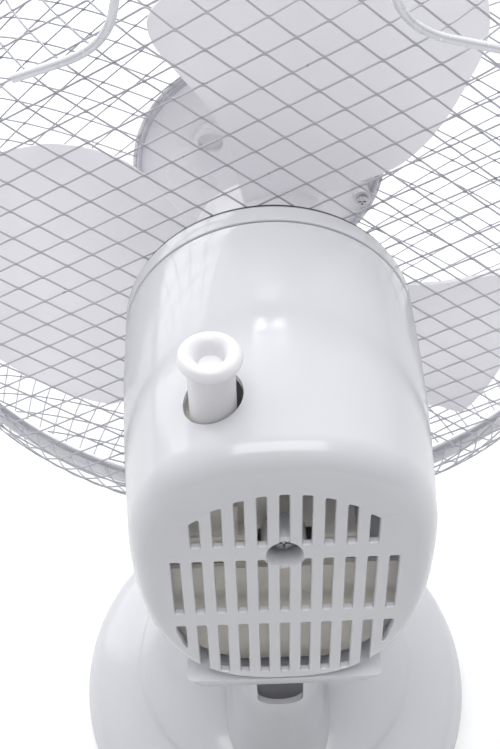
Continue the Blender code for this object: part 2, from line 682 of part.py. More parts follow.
def make_gearbox():
    """The gear case, and its lid with the tower that guides the knob's skirt."""
    low, high = 190.0, 214.0
    outer_low, outer_high = (-23.0, 8.6, low), (41.5, 48.6, high)
    box = block("gearbox_housing", outer_low, outer_high, GEARBOX_BEIGE, bevel=1.5)
    join(box, rear_plate(), block("plate_web", (-18.0, 47.0, low + 1.5), (18.0, 52.0, low + 14.5)))
    cut(box,
        block("gear_space", (-20.5, 11.0, low + 2.5), (39.0, 46.2, high + 5)),
        boss_notch("housing_notch"),
        rod("shaft_hole", 3.7, forward(0, -50, 0), forward(0, -70, 0), None, 16),
        rod("crank_hole", 3.4, (0, SPINDLE_Y, 185), (0, SPINDLE_Y, 195), None, 16),
        rod("spindle_hole", 1.9, (SPINDLE_X, SPINDLE_Y, 185), (SPINDLE_X, SPINDLE_Y, 195), None, 12))
    lid = block("gearbox_cover", (-23.0, 8.6, high + GAP), (41.5, 48.6, high + 3.0), GEARBOX_BEIGE, bevel=0.6)
    join(lid,
         block("clutch_tower", (SPINDLE_X - 7, 15.0, high + 1), (33.0, 43.5, TOWER_TOP)),
         block("tower_step", (1.0, 15.0, high + 1), (SPINDLE_X - 5, 43.5, TOWER_TOP - 12)),
         block("tower_foot", (SPINDLE_X - 6, 42.0, high + 1), (30.0, 48.0, TOWER_TOP - 14)))
    cut(lid,
        rod("skirt_bore", 7.9, (SPINDLE_X, SPINDLE_Y, high + 9), (SPINDLE_X, SPINDLE_Y, TOWER_TOP + 9),
            None, 24),
        rod("lid_bore", 1.9, (SPINDLE_X, SPINDLE_Y, high - 5), (SPINDLE_X, SPINDLE_Y, high + 20),
            None, 12),
        boss_notch("lid_notch"))
    return box


def make_clutch():
    """The pull-up knob that stops the oscillation, hollow above and below, on its spindle."""
    top = AXIS_Z + 70.0
    outline = [(6.0, top - 0.4), (7.2, top), (8.5, top - 0.4), (9.4, top - 1.6), (9.5, top - 2.8),
               (9.0, top - 4.0), (7.1, top - 4.8), (7.1, top - 42.0), (5.2, top - 42.0),
               (5.2, top - 10.0), (1.8, top - 10.0), (1.8, top - 5.2), (3.6, top - 5.2),
               (4.3, top - 2.4), (5.0, top - 1.1)]
    lathe("clutch_knob", outline, SATIN_WHITE, 20, at=(SPINDLE_X, SPINDLE_Y, 0))
    rod("clutch_spindle", 1.5, (SPINDLE_X, SPINDLE_Y, 194.0), (SPINDLE_X, SPINDLE_Y, top - 6.0), STEEL, 12)


# ---------------------------------------------------------------- fan, guards and handle

def make_blade(index):
    """One paddle: a twisted sheet from the hub to the tip, given thickness."""
    columns = 6
    root, tip = BLADE_OUTLINE[0][0], BLADE_OUTLINE[-1][0]
    shape = bmesh.new()
    grid = []
    for radius, lead, trail in BLADE_OUTLINE:
        line = []
        for j in range(columns):
            across = j / (columns - 1)
            angle = math.radians(lead + (trail - lead) * across + 120.0 * index)
            pitch = BLADE_LEAD + (BLADE_TRAIL - BLADE_LEAD) * across - BLADE_BOW * math.sin(math.pi * across)
            at_hub = 47.0 + 14.0 * across
            rise = at_hub + (pitch - at_hub) * min(1.0, 1.6 * (radius - root) / (tip - root))
            line.append(shape.verts.new(forward(-radius * math.sin(angle), rise, radius * math.cos(angle))))
        grid.append(line)
    for low, high in zip(grid, grid[1:]):
        for j in range(columns - 1):
            shape.faces.new((low[j], low[j + 1], high[j + 1], high[j]))
    blade = finished(f"blade_{index}", shape, None)
    thicken = blade.modifiers.new("thickness", "SOLIDIFY")
    thicken.thickness = 1.8 * MM
    thicken.offset = 0.0
    return blade


def make_fan():
    hub = lathe("fan_blade",
                [(12.0, 64.0), (27.0, 64.0), (HUB_R, 61.0), (HUB_R, 40.0), (27.6, 40.0), (27.6, 59.5),
                 (9.0, 61.0), (9.0, 40.0), (3.35, 40.0), (3.35, 64.0)],
                BLADE_GREY, 24, "forward")
    join(hub, *[make_blade(i) for i in range(3)])
    lathe("spinner_cap",
          [(0, 77.0), (6.0, 76.6), (11.0, 74.5), (14.0, 70.5), (14.5, 64.4), (3.4, 64.4), (3.4, 71.6),
           (0, 71.6)], SATIN_WHITE, 20, "forward")
    return hub


def lattice(name, profile, material):
    """A coarse wire guard: diamonds between rings of the (radius, forward) profile, turned into struts."""
    shape = bmesh.new()
    count = LATTICE_SPOKES
    rings = []
    for level, (radius, distance) in enumerate(profile):
        turns = [2 * math.pi * (i + 0.5 * (level % 2)) / count for i in range(count)]
        rings.append([shape.verts.new(forward(radius * math.sin(t), distance, radius * math.cos(t)))
                      for t in turns])
    for level, (near, middle, far) in enumerate(zip(rings, rings[1:], rings[2:])):
        for i in range(count):
            side = i + level % 2
            shape.faces.new((near[i], middle[side - 1], far[i], middle[side % count]))
    inner, outer = rings[-2], rings[-1]
    for i in range(count):
        ahead = (i + 1) % count
        shape.faces.new((rings[0][i], rings[0][ahead], rings[1][i]))
        shape.faces.new((outer[i], outer[ahead], inner[i if len(rings) % 2 else ahead]))
    made = finished(name, shape, material)
    struts = made.modifiers.new("struts", "WIREFRAME")
    struts.thickness = WIRE * MM
    struts.use_even_offset = True
    struts.use_boundary = True
    return made


def dome(distance):
    """Radius of the front guard at this forward distance."""
    share = (distance - BAND_FRONT) / (CAGE_FRONT - BAND_FRONT)
    return CAGE_R * (1 - share ** CAGE_SQUARENESS) ** (1 / CAGE_SQUARENESS)


def make_guards():
    corner_r, corner_depth = CAGE_R - MESH_FLAT_R, BAND_REAR + 4.5 - MESH_FLAT
    profile = [(44.5, MESH_FLAT), (82.0, MESH_FLAT), (MESH_FLAT_R, MESH_FLAT)]
    for turn in (40, 65, 90):
        angle = math.radians(turn)
        profile.append((MESH_FLAT_R + corner_r * math.sin(angle),
                        MESH_FLAT + corner_depth * (1 - math.cos(angle))))
    rear = lattice("rear_guard", profile, WIRE_GREY)
    hub = [(46.5, 12.0), (46.5, 10.2), (24.2, 10.2), (24.2, 12.0)]
    join(rear, lathe("guard_hub", hub, None, 28, "forward"))
    tube("guard_nut", 24.0, 40.0, 12.4, 19.0, SATIN_WHITE, 32)
    shoulder = [(dome(distance), distance) for distance in (64.0, 84.0, 103.0)]
    front = lattice("front_guard",
                    [(CAGE_R, BAND_REAR + 7.0), *shoulder, (90.0, 112.0), (57.0, 113.2)], WIRE_GREY)
    ring = tube("rim_ring", CAGE_R + 1.4, CAGE_R + 3.4, BAND_REAR, BAND_FRONT, SATIN_WHITE, 48)
    low = -CAGE_R - 9.6
    for side in (-1, 1):
        x = sorted((side * 1.2, side * 5.2))
        join(ring, block(f"ring_lug_{side}", forward(x[0], BAND_FRONT - 2, low),
                         forward(x[1], BAND_REAR + 2, -CAGE_R - 2.2)))
    middle = (BAND_REAR + BAND_FRONT) / 2
    hole = [forward(x, middle, low + 3.0) for x in (-9, 9)]
    cut(ring, rod("lug_hole", 1.7, *hole, None, 12))
    screw("rim_screw", forward(7.0, middle, low + 3.0), forward(-7.6, middle, low + 3.0), 1.4, 2.6, 2.0)
    return rear, front


def plate_screw_spots():
    turns = [math.radians(PLATE_SCREW_TURN + 120 * i) for i in range(3)]
    return [(-PLATE_SCREW_R * math.sin(t), PLATE_SCREW_R * math.cos(t)) for t in turns]


def make_front_plate():
    """The round badge plate in front, a shallow dome with screw bosses and a ring boss on its back."""
    outline = [(0, 120.6), (25, 120.2), (45, 118.8), (55, 117.2), (PLATE_R, 115.2),
               (PLATE_R - 1.4, 114.4), (54, 115.2), (44, 116.8), (25, 118.2), (0, 118.6)]
    plate = lathe("front_plate", outline, SATIN_WHITE, 26, "forward")
    for i, (x, up) in enumerate(plate_screw_spots()):
        join(plate, rod(f"plate_boss_{i}", 4.2, forward(x, 106.0, up), forward(x, 116.6, up), None, 16))
        cut(plate, rod(f"plate_bore_{i}", 1.7, forward(x, 100, up), forward(x, 115.5, up), None, 10))
        screw(f"plate_screw_{i + 1}", forward(x, 114.5, up), forward(x, 103.8, up), 1.4, 3.0, 1.8)
    ring_at = (22.0, 15.0)
    join(plate, rod("ring_boss", 8.0, forward(ring_at[0], 113.0, ring_at[1]),
                    forward(ring_at[0], 118.8, ring_at[1]), None, 20))
    cut(plate, rod("ring_bore", 5.6, forward(ring_at[0], 110.0, ring_at[1]),
                   forward(ring_at[0], 117.0, ring_at[1]), None, 20))
    return plate


def handle_path():
    """The carry handle's route: a foot on the rear guard's flat mesh, a bend into the leg, and the grip."""
    half = [(77.0, 109.5), (66.0, 112.5), (56.0, 115.5), (49.0, 119.5), (44.5, 124.5), (42.0, 130.5),
            (HANDLE_HALF, 138.0), (HANDLE_HALF, HANDLE_TOP - 18)]
    corner = [math.radians(90 * i / 5) for i in range(1, 6)]
    half += [(HANDLE_HALF - 16 + 16 * math.cos(t), HANDLE_TOP - 16 + 16 * math.sin(t)) for t in corner]
    turn = Matrix.Rotation(-HANDLE_TURN, 2)
    return [turn @ Vector(spot) for spot in half + [(-x, up) for x, up in reversed(half)]]


def make_handle():
    behind = MESH_FLAT - WIRE / 2 - GAP - HANDLE_R
    return wire("carry_handle", [forward(x, behind, up) for x, up in handle_path()], HANDLE_R, HANDLE_WHITE)


def main():
    make_base()
    make_column()
    make_base_details()
    make_keys()
    make_neck()
    make_cover()
    make_bottom_plate()
    make_bezel()
    make_motor()
    make_shaft()
    make_gears()
    make_link()
    make_gearbox()
    make_clutch()
    make_fan()
    make_guards()
    make_front_plate()
    make_handle()


main()
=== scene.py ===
"""The looks of a 30 cm desk fan on a short pedestal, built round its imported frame.

Lengths are in millimetres and MM turns them into metres. Pieces of the head are placed as the frame's are:
"forward" runs along -Y from the seam between the motor cover and its collar, and "up" from the motor's axis.
"""

import json
import math

import bmesh
import bpy
from mathutils import Matrix, Vector


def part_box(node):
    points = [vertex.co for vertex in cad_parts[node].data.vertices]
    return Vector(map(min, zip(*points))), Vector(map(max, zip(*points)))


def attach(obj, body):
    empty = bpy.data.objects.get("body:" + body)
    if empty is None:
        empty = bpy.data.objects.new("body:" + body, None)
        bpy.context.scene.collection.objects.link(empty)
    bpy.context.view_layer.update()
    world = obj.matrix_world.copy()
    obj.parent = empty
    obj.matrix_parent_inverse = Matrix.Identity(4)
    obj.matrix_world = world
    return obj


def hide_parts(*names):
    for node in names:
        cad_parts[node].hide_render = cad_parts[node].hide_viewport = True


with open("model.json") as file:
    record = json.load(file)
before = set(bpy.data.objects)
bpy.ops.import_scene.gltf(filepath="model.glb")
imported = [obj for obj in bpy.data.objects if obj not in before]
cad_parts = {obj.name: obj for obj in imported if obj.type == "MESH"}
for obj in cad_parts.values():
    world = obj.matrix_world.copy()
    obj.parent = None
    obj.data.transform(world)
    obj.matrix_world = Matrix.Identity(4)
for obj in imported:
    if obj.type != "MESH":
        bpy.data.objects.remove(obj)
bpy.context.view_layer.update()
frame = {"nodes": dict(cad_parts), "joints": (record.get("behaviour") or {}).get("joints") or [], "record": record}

MM = 0.001
GAP = 0.3

JOINTS = {joint["name"]: joint for joint in frame["joints"]}


def low(node, axis):
    """The lowest coordinate of the node's solid on one axis, in millimetres."""
    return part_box(node)[0][axis] / MM


def high(node, axis):
    """The highest coordinate of the node's solid on one axis, in millimetres."""
    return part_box(node)[1][axis] / MM


SEAM_Y = JOINTS["blade_spin"]["pos_m"][1] / MM
AXIS_Z = JOINTS["blade_spin"]["pos_m"][2] / MM
TILT_Z = JOINTS["tilt"]["pos_m"][2] / MM
NECK_R = high("tilt_bracket", 0)

# Motor cover
COLLAR_R = high("front_bezel", 0)
COVER_LENGTH = 92.0  # from the seam to where the rear edge starts to round
FACE_FORWARD = -107.6
FACE_TILT = math.radians(7.2)
FACE_INSET = 8.0
EDGE_LENGTH = 15.6
SLOT_PITCH = 6.755
SLOT_HALF = 1.45
BOSS_UP = 8.84
KNOB_X = 0.5 * (low("clutch_knob", 0) + high("clutch_knob", 0))
KNOB_Y = 0.5 * (low("clutch_knob", 1) + high("clutch_knob", 1))
KNOB_TOP = high("clutch_knob", 2)

# Guards and blades
BAND_REAR = SEAM_Y - high("rim_ring", 1)
BAND_FRONT = SEAM_Y - low("rim_ring", 1)
RIM_R = high("rim_ring", 0)
CAGE_R = RIM_R - 3.4
CAGE_FRONT = 113.6
CAGE_SQUARENESS = 3.5
PLATE_R = high("front_plate", 0)
PLATE_SCREW_R = 49.6
PLATE_SCREW_TURN = 105.6  # degrees from up to the first screw, as seen from behind
MESH_WIDTH = 18.8  # one cell across, along the wires
MESH_HEIGHT = 11.9  # one cell high, which two wires make
MESH_TURN = math.radians(5.6)
WIRE_R = 0.37
WELD = 1.7  # how far two wires run side by side where they meet
MESH_FLAT = 11.0  # forward distance of the rear guard's flat middle
MESH_FLAT_R = 119.0
HANDLE_HALF = 41.0
HANDLE_TOP = 187.9
HANDLE_TURN = math.radians(1.65)
HUB_R = 30.0
BLADE_LEAD, BLADE_TRAIL = 50.0, 77.0
BLADE_BOW = 5.0
# A blade's outline: radius, then the angles of its leading and trailing edge in degrees from up
BLADE_OUTLINE = [(25.0, -16.0, 44.0), (46.0, -14.0, 57.0), (61.0, -14.0, 62.0), (76.0, -16.5, 60.6),
                 (91.0, -20.0, 56.6), (104.0, -21.8, 52.2), (114.0, -20.0, 48.9), (121.5, -12.5, 45.5),
                 (128.0, -3.0, 41.0), (134.0, 5.5, 35.0), (138.5, 12.0, 28.5), (140.4, 17.0, 23.0)]

# Pedestal
BASE_R = high("base_shell", 0)
BASE_Y = 0.5 * (low("base_shell", 1) + high("base_shell", 1))
BASE_STRETCH = 1.05
COLUMN_Y = 10.0
PANEL_TILT = math.radians(19.5)
PANEL_Y, PANEL_Z = -80.0, 30.5
FLOOR_Z = low("rubber_foot_1", 2)


# ---------------------------------------------------------------- making shapes

def forward(x, distance, up):
    """The point of the head at x, this far forward of the seam and this far above the motor's axis."""
    return Vector((x, SEAM_Y - distance, AXIS_Z + up))


def through(points, steps):
    """A smooth run through points of any number of values, with this many steps between each two."""
    ends = [points[0], *points, points[-1]]
    run = []
    for quad in zip(ends, ends[1:], ends[2:], ends[3:]):
        for i in range(steps):
            t = i / steps
            run.append(tuple(
                b + 0.5 * t * (c - a + t * (2 * a - 5 * b + 4 * c - d + t * (3 * (b - c) + d - a)))
                for a, b, c, d in zip(*quad)))
    return run + [tuple(points[-1])]


def filleted(corners, radius, steps=4, closed=True):
    """The outline with its corners rounded to the radius, or to less beside a short side."""
    outline = []
    count = len(corners)
    for i, corner in enumerate(corners):
        here = Vector(corner)
        back = Vector(corners[i - 1]) - here
        ahead = Vector(corners[(i + 1) % count]) - here
        at_end = not closed and i in (0, count - 1)
        if at_end or radius == 0 or back.angle(ahead) > math.radians(172):
            outline.append(tuple(here))
            continue
        reach = min(radius / math.tan(back.angle(ahead) / 2), back.length * 0.48, ahead.length * 0.48)
        start, end = here + back.normalized() * reach, here + ahead.normalized() * reach
        for k in range(steps + 1):
            t = k / steps
            outline.append(tuple(start * (1 - t) ** 2 + here * 2 * t * (1 - t) + end * t * t))
    return outline


def smooth(piece, angle):
    """Shades the piece smooth, save where two faces meet at more than this angle in degrees."""
    piece.data.shade_smooth()
    piece.data.set_sharp_from_angle(angle=math.radians(angle))
    return piece


def finished(name, shape):
    """Writes a bmesh in millimetres to a new object in metres."""
    bmesh.ops.recalc_face_normals(shape, faces=shape.faces)
    bmesh.ops.scale(shape, vec=(MM, MM, MM), verts=shape.verts)
    mesh = bpy.data.meshes.new(name)
    shape.to_mesh(mesh)
    shape.free()
    piece = bpy.data.objects.new(name, mesh)
    bpy.context.scene.collection.objects.link(piece)
    return smooth(piece, 30)


def settled(piece, angle=30):
    """Replaces the piece's mesh by what its modifiers make of it."""
    graph = bpy.context.evaluated_depsgraph_get()
    mesh = bpy.data.meshes.new_from_object(piece.evaluated_get(graph))
    piece.modifiers.clear()
    piece.data = mesh
    return smooth(piece, angle)


def changed(piece, operation, tools):
    """Cuts the tools from the piece, or joins them to it, and removes them."""
    for tool in tools:
        step = piece.modifiers.new("change", "BOOLEAN")
        step.operation = operation
        step.solver = "EXACT"
        step.object = tool
    settled(piece)
    for tool in tools:
        bpy.data.objects.remove(tool)
    return piece


def cut(piece, *tools):
    return changed(piece, "DIFFERENCE", tools)


def join(piece, *tools):
    return changed(piece, "UNION", tools)


def loft(name, rings, close_first=False, close_last=False, wall=0.0):
    """A skin through rings of equal count. With a wall it becomes a shell that thickens inwards."""
    shape = bmesh.new()
    loops = [[shape.verts.new(point) for point in ring] for ring in rings]
    for below, above in zip(loops, loops[1:]):
        for i in range(len(below)):
            shape.faces.new((below[i - 1], below[i], above[i], above[i - 1]))
    if close_first:
        shape.faces.new(loops[0])
    if close_last:
        shape.faces.new(loops[-1])
    piece = finished(name, shape)
    if wall:
        thicken = piece.modifiers.new("wall", "SOLIDIFY")
        thicken.thickness = wall * MM
        thicken.offset = -1.0
        thicken.use_even_offset = True
        settled(piece)
    return piece


def turned(name, profile, matrix, steps=96, closed=True):
    """A turned solid: (radius, height) points round local z, moved to their place by the matrix."""
    shape = bmesh.new()
    rings = []
    for radius, height in profile:
        spread = steps if radius > 1e-6 else 1
        turns = [2 * math.pi * i / steps for i in range(spread)]
        rings.append([shape.verts.new((radius * math.cos(t), radius * math.sin(t), height)) for t in turns])
    pairs = list(zip(rings, rings[1:]))
    if closed and len(rings[0]) > 1:
        pairs.append((rings[-1], rings[0]))
    for near, far in pairs:
        for i in range(steps if len(near) + len(far) > 2 else 0):
            j = (i + 1) % steps
            corners = (near[i % len(near)], near[j % len(near)], far[j % len(far)], far[i % len(far)])
            shape.faces.new(list(dict.fromkeys(corners)))
    bmesh.ops.transform(shape, matrix=matrix, verts=shape.verts)
    return finished(name, shape)


def upright(x, y):
    """A frame whose z runs up, at this place."""
    return Matrix.Translation((x, y, 0.0))


def along_axis(x=0.0, up=0.0):
    """A frame whose z runs forward from the seam, beside the motor's axis."""
    return Matrix.Translation(forward(x, 0, up)) @ Matrix.Rotation(math.pi / 2, 4, "X")


def rod(name, radius, start, end, sides=32):
    """A round bar between two points."""
    start, end = Vector(start), Vector(end)
    length = (end - start).length
    turn = (end - start).to_track_quat("Z", "Y").to_matrix().to_4x4()
    profile = [(0, length), (radius, length), (radius, 0), (0, 0)]
    return turned(name, profile, Matrix.Translation(start) @ turn, sides, closed=False)


def block(name, low_corner, high_corner, soft=0.0, turn=None):
    """A box between two corners with rounded edges, turned about its own frame where turn is given."""
    low_corner, high_corner = Vector(low_corner), Vector(high_corner)
    shape = bmesh.new()
    bmesh.ops.create_cube(shape, size=1.0)
    bmesh.ops.scale(shape, vec=high_corner - low_corner, verts=shape.verts)
    bmesh.ops.translate(shape, vec=(low_corner + high_corner) / 2, verts=shape.verts)
    if soft:
        bmesh.ops.bevel(shape, geom=shape.edges[:], offset=soft, segments=3, profile=0.5, affect="EDGES")
    if turn is not None:
        bmesh.ops.transform(shape, matrix=turn, verts=shape.verts)
    return finished(name, shape)


def prism(name, layers):
    """A column through flat outlines of equal count, closed at both ends."""
    return loft(name, layers, close_first=True, close_last=True)


def wires(name, runs, radius, cyclic=False, resolution=2):
    """Round wires along runs of points, as one curve object."""
    curve = bpy.data.curves.new(name, "CURVE")
    curve.dimensions = "3D"
    curve.bevel_depth = radius * MM
    curve.bevel_resolution = resolution
    curve.use_fill_caps = True
    for run in runs:
        spline = curve.splines.new("POLY")
        spline.points.add(len(run) - 1)
        for point, at in zip(spline.points, run):
            point.co = (*(Vector(at) * MM), 1)
        spline.use_cyclic_u = cyclic
    piece = bpy.data.objects.new(name, curve)
    bpy.context.scene.collection.objects.link(piece)
    return piece


def superellipse(width, top, bottom, squareness, count):
    """Points (x, up) round a rounded outline whose upper and lower halves may differ in height."""
    points = []
    for i in range(count):
        angle = 2 * math.pi * i / count
        across = math.copysign(abs(math.sin(angle)) ** (2 / squareness), math.sin(angle))
        rise = math.copysign(abs(math.cos(angle)) ** (2 / squareness), math.cos(angle))
        points.append((width * across, (top if rise > 0 else bottom) * rise))
    return points


# ---------------------------------------------------------------- materials

def node(tree, kind, **values):
    made = tree.nodes.new(kind)
    for key, value in values.items():
        setattr(made, key, value)
    return made


def noise(tree, size, detail=3.0):
    """A noise texture whose patches are about this many millimetres across, in the object's own space."""
    place = node(tree, "ShaderNodeTexCoord")
    made = node(tree, "ShaderNodeTexNoise")
    made.inputs["Scale"].default_value = 1 / (size * MM)
    made.inputs["Detail"].default_value = detail
    tree.links.new(place.outputs["Object"], made.inputs["Vector"])
    return made.outputs["Fac"]


def ranged(tree, value, low_value, high_value, start=0.3, end=0.7):
    made = node(tree, "ShaderNodeMapRange")
    limits = {"From Min": start, "From Max": end, "To Min": low_value, "To Max": high_value}
    for socket, number in limits.items():
        made.inputs[socket].default_value = number
    tree.links.new(value, made.inputs["Value"])
    return made.outputs["Result"]


def surface(name, colour, roughness, metallic=0.0, spread=0.02, patch=45.0, grain=0.6, bump=0.03,
            polish=0.05, coat=0.0, passing=0.0):
    """A material whose colour drifts a little, whose gloss is uneven, and whose skin has a fine grain.

    Passing is the share of the light that goes through the skin, as it does through thin white plastic.
    """
    made = bpy.data.materials.new(name)
    made.use_nodes = True
    tree = made.node_tree
    shader = tree.nodes["Principled BSDF"]
    shader.inputs["Metallic"].default_value = metallic
    shader.inputs["Coat Weight"].default_value = coat
    shader.inputs["Coat Roughness"].default_value = 0.06
    mix = node(tree, "ShaderNodeMix", data_type="RGBA")
    mix.inputs["A"].default_value = (*[c * (1 - spread) for c in colour], 1)
    mix.inputs["B"].default_value = (*[min(1.0, c * (1 + spread)) for c in colour], 1)
    tree.links.new(ranged(tree, noise(tree, patch), 0, 1), mix.inputs["Factor"])
    tree.links.new(mix.outputs["Result"], shader.inputs["Base Color"])
    uneven = ranged(tree, noise(tree, patch * 0.4, 5.0), max(0.0, roughness - polish), roughness + polish)
    tree.links.new(uneven, shader.inputs["Roughness"])
    relief = node(tree, "ShaderNodeBump")
    relief.inputs["Strength"].default_value = bump
    relief.inputs["Distance"].default_value = 0.1 * MM
    tree.links.new(noise(tree, grain, 2.0), relief.inputs["Height"])
    tree.links.new(relief.outputs["Normal"], shader.inputs["Normal"])
    if passing:
        glow = node(tree, "ShaderNodeBsdfTranslucent")
        tree.links.new(mix.outputs["Result"], glow.inputs["Color"])
        blend = node(tree, "ShaderNodeMixShader")
        blend.inputs["Fac"].default_value = passing
        tree.links.new(shader.outputs["BSDF"], blend.inputs[1])
        tree.links.new(glow.outputs["BSDF"], blend.inputs[2])
        tree.links.new(blend.outputs["Shader"], tree.nodes["Material Output"].inputs["Surface"])
    return made


def brushed(name, colour, roughness):
    """A bare metal whose gloss is broken up by fine scratches."""
    return surface(name, colour, roughness, metallic=1.0, spread=0.12, patch=6.0, grain=0.35, bump=0.08,
                   polish=0.1)


MATERIALS = {
    "gloss_white": surface("gloss_white", (0.76, 0.765, 0.79), 0.15, spread=0.012, bump=0.012, coat=0.3,
                           passing=0.3),
    "satin_white": surface("satin_white", (0.86, 0.85, 0.87), 0.30, spread=0.015, bump=0.03, coat=0.15,
                           passing=0.2),
    "blade_grey": surface("blade_grey", (0.90, 0.89, 0.91), 0.34, spread=0.02, bump=0.02, passing=0.5),
    "wire_grey": surface("wire_grey", (0.50, 0.50, 0.54), 0.32, 0.35, spread=0.06, patch=9.0, grain=0.4),
    "handle_white": surface("handle_white", (0.74, 0.75, 0.78), 0.25, 0.2, spread=0.03, patch=12.0),
    "gearbox_beige": surface("gearbox_beige", (0.96, 0.91, 0.82), 0.5, spread=0.06, patch=8.0, bump=0.1),
    "nylon": surface("nylon", (0.80, 0.78, 0.70), 0.42, spread=0.04, patch=5.0, bump=0.05),
    "steel": brushed("steel", (0.55, 0.55, 0.57), 0.32),
    "iron": surface("iron", (0.16, 0.16, 0.17), 0.6, 0.7, spread=0.2, patch=5.0, grain=0.5, bump=0.3),
    "bronze": brushed("bronze", (0.50, 0.33, 0.17), 0.4),
    "copper": surface("copper", (0.55, 0.22, 0.08), 0.35, 0.9, spread=0.15, patch=1.5, grain=0.5, bump=0.4),
    "aluminium": brushed("aluminium", (0.63, 0.64, 0.65), 0.48),
    "black_plastic": surface("black_plastic", (0.03, 0.03, 0.03), 0.45, spread=0.2, patch=6.0, bump=0.1),
    "rubber": surface("rubber", (0.045, 0.045, 0.045), 0.8, spread=0.25, patch=4.0, bump=0.3),
}


def dress(piece, body, slot, *nodes):
    """Gives a piece its material, its body and the frame nodes that it stands for."""
    piece.data.materials.clear()
    piece.data.materials.append(MATERIALS[slot])
    if nodes:
        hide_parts(*nodes)
    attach(piece, body)
    return piece


def dress_frame():
    """The frame nodes that stay visible take the same materials, by their slot."""
    for part in frame["record"]["subparts"]:
        mesh = frame["nodes"][part["node"]].data
        mesh.materials.clear()
        mesh.materials.append(MATERIALS[part["material_slot"]])


# ---------------------------------------------------------------- motor cover

def cover_outline(distance, inset=0.0):
    """The cover's outline this far behind the seam: round in front, deeper below and squarer behind."""
    t = distance / COVER_LENGTH
    width = COLLAR_R - 0.2 - 1.5 * t - 4.7 * t * t - inset
    top = COLLAR_R - 0.2 - 2.2 * t - 3.0 * t * t - inset
    bottom = COLLAR_R + 0.6 + 6.6 * t - 2.9 * t * t - inset
    return superellipse(width, top, bottom, 2.0 + 0.5 * t, 192)


def cover_rings():
    """The rings of the cover's skin, from the seam back round the rounded rear edge to the flat face."""
    rings = [[forward(x, 0.0, up) for x, up in cover_outline(0, inset=0.7)],
             [forward(x, -0.25, up) for x, up in cover_outline(0, inset=0.2)]]
    for i in range(27):
        distance = 0.8 + (COVER_LENGTH - 0.8) * i / 26
        rings.append([forward(x, -distance, up) for x, up in cover_outline(distance)])
    for i in range(1, 13):
        angle = math.radians(90 * i / 12)
        outline = cover_outline(COVER_LENGTH, inset=FACE_INSET * (1 - math.cos(angle)))
        reach = math.sin(angle)
        rings.append([forward(x, -COVER_LENGTH - EDGE_LENGTH * reach + math.tan(FACE_TILT) * up * reach, up)
                      for x, up in outline])
    return rings


def face_frame():
    """The frame of the cover's rear face: local z out of the face, local y up it, origin on the axis."""
    lean = Matrix.Rotation(-math.pi / 2 + FACE_TILT, 4, "X") @ Matrix.Rotation(math.pi, 4, "Z")
    return Matrix.Translation(forward(0, FACE_FORWARD, 0)) @ lean


def slot_outlines():
    """Corner points of each ventilation slot, in three rows whose ends follow the face's outline."""
    def crown(x):
        return -6.8 + math.sqrt(41.5 ** 2 - x ** 2)

    def sill(x):
        return -49.7 + 0.0028 * x ** 2

    rows = []
    for k in range(-5, 6):
        left, right = k * SLOT_PITCH - SLOT_HALF, k * SLOT_PITCH + SLOT_HALF
        if abs(k) < 5:
            rows.append([(left, 13.4), (right, 13.4), (right, crown(right)), (left, crown(left))])
            rows.append([(left, sill(left)), (right, sill(right)), (right, -23.7), (left, -23.7)])
        else:
            outer, inner = (left, right) if k < 0 else (right, left)
            rows.append([(inner, -37.5), (outer, -26.5), (outer, -23.7), (inner, -23.7)])
        rows.append([(left, -17.5), (right, -17.5), (right, 7.0), (left, 7.0)])
    return rows


def widened(outline, margin):
    """The outline moved outwards by the margin, measured from its middle."""
    middle = sum((Vector(p) for p in outline), Vector((0, 0))) / len(outline)
    return [(x + math.copysign(margin, x - middle.x), y + math.copysign(margin, y - middle.y))
            for x, y in outline]


def slot_cutters():
    """One cutter for each slot, flared at the surface so that the slot's rim is rounded."""
    flare = ((-9.0, 0.0), (-0.75, 0.0), (-0.4, 0.09), (-0.12, 0.28), (0.06, 0.55), (2.0, 0.55))
    cutters = []
    for i, corners in enumerate(slot_outlines()):
        layers = []
        for depth, margin in flare:
            outline = filleted(widened(corners, margin), 0.55 + margin, 3)
            layers.append([face_frame() @ Vector((x, y, depth)) for x, y in outline])
        cutters.append(prism(f"slot_{i}", layers))
    return cutters


def make_cover():
    """The motor cover: a thin shell with rows of slots, the knob's hole and the screw boss."""
    cover = loft("motor_housing", cover_rings(), close_last=True, wall=2.2)
    at = face_frame() @ upright(0, BOSS_UP)
    bowl = [(0, 3.0), (6.6, 3.0), (6.3, 0.02), (5.75, -0.25), (5.45, -0.9), (5.45, -4), (0, -4)]
    oval = superellipse(9.2, 10.2, 10.2, 2.0, 64)
    knob_hole = prism("knob_hole", [[(KNOB_X + x, KNOB_Y - 2.7 + y, AXIS_Z + height) for x, y in oval]
                                    for height in (25, 70)])
    cut(cover, *slot_cutters(), turned("recess", bowl, at, 64, closed=False), knob_hole,
        rod("neck_hole", NECK_R + 0.6, (0, 0, AXIS_Z - 68), (0, 0, AXIS_Z - 48), 64))
    boss = [(7.1, -1.2), (7.1, -11.4), (2.1, -11.4), (2.1, -7.6), (5.35, -7.6), (5.35, -1.2)]
    join(cover, turned("boss", filleted(boss, 0.3, 2), at, 64))
    dress(cover, "head", "gloss_white", "motor_cover")


def make_cover_screw():
    """A pan-head screw with a cross recess at the bottom of the boss."""
    at = face_frame() @ upright(0, BOSS_UP)
    profile = [(0, -5.2), (2.2, -5.35), (3.6, -6.0), (4.1, -6.9), (4.1, -7.45), (1.7, -7.45), (1.7, -12.0),
               (0, -12.0)]
    head = turned("housing_screw", profile, at, 48, closed=False)
    cut(head,
        block("cross_a", (-2.5, -0.5, -6.6), (2.5, 0.5, -4), 0.15, at),
        block("cross_b", (-0.5, -2.5, -6.6), (0.5, 2.5, -4), 0.15, at))
    dress(head, "head", "steel", "cover_screw")


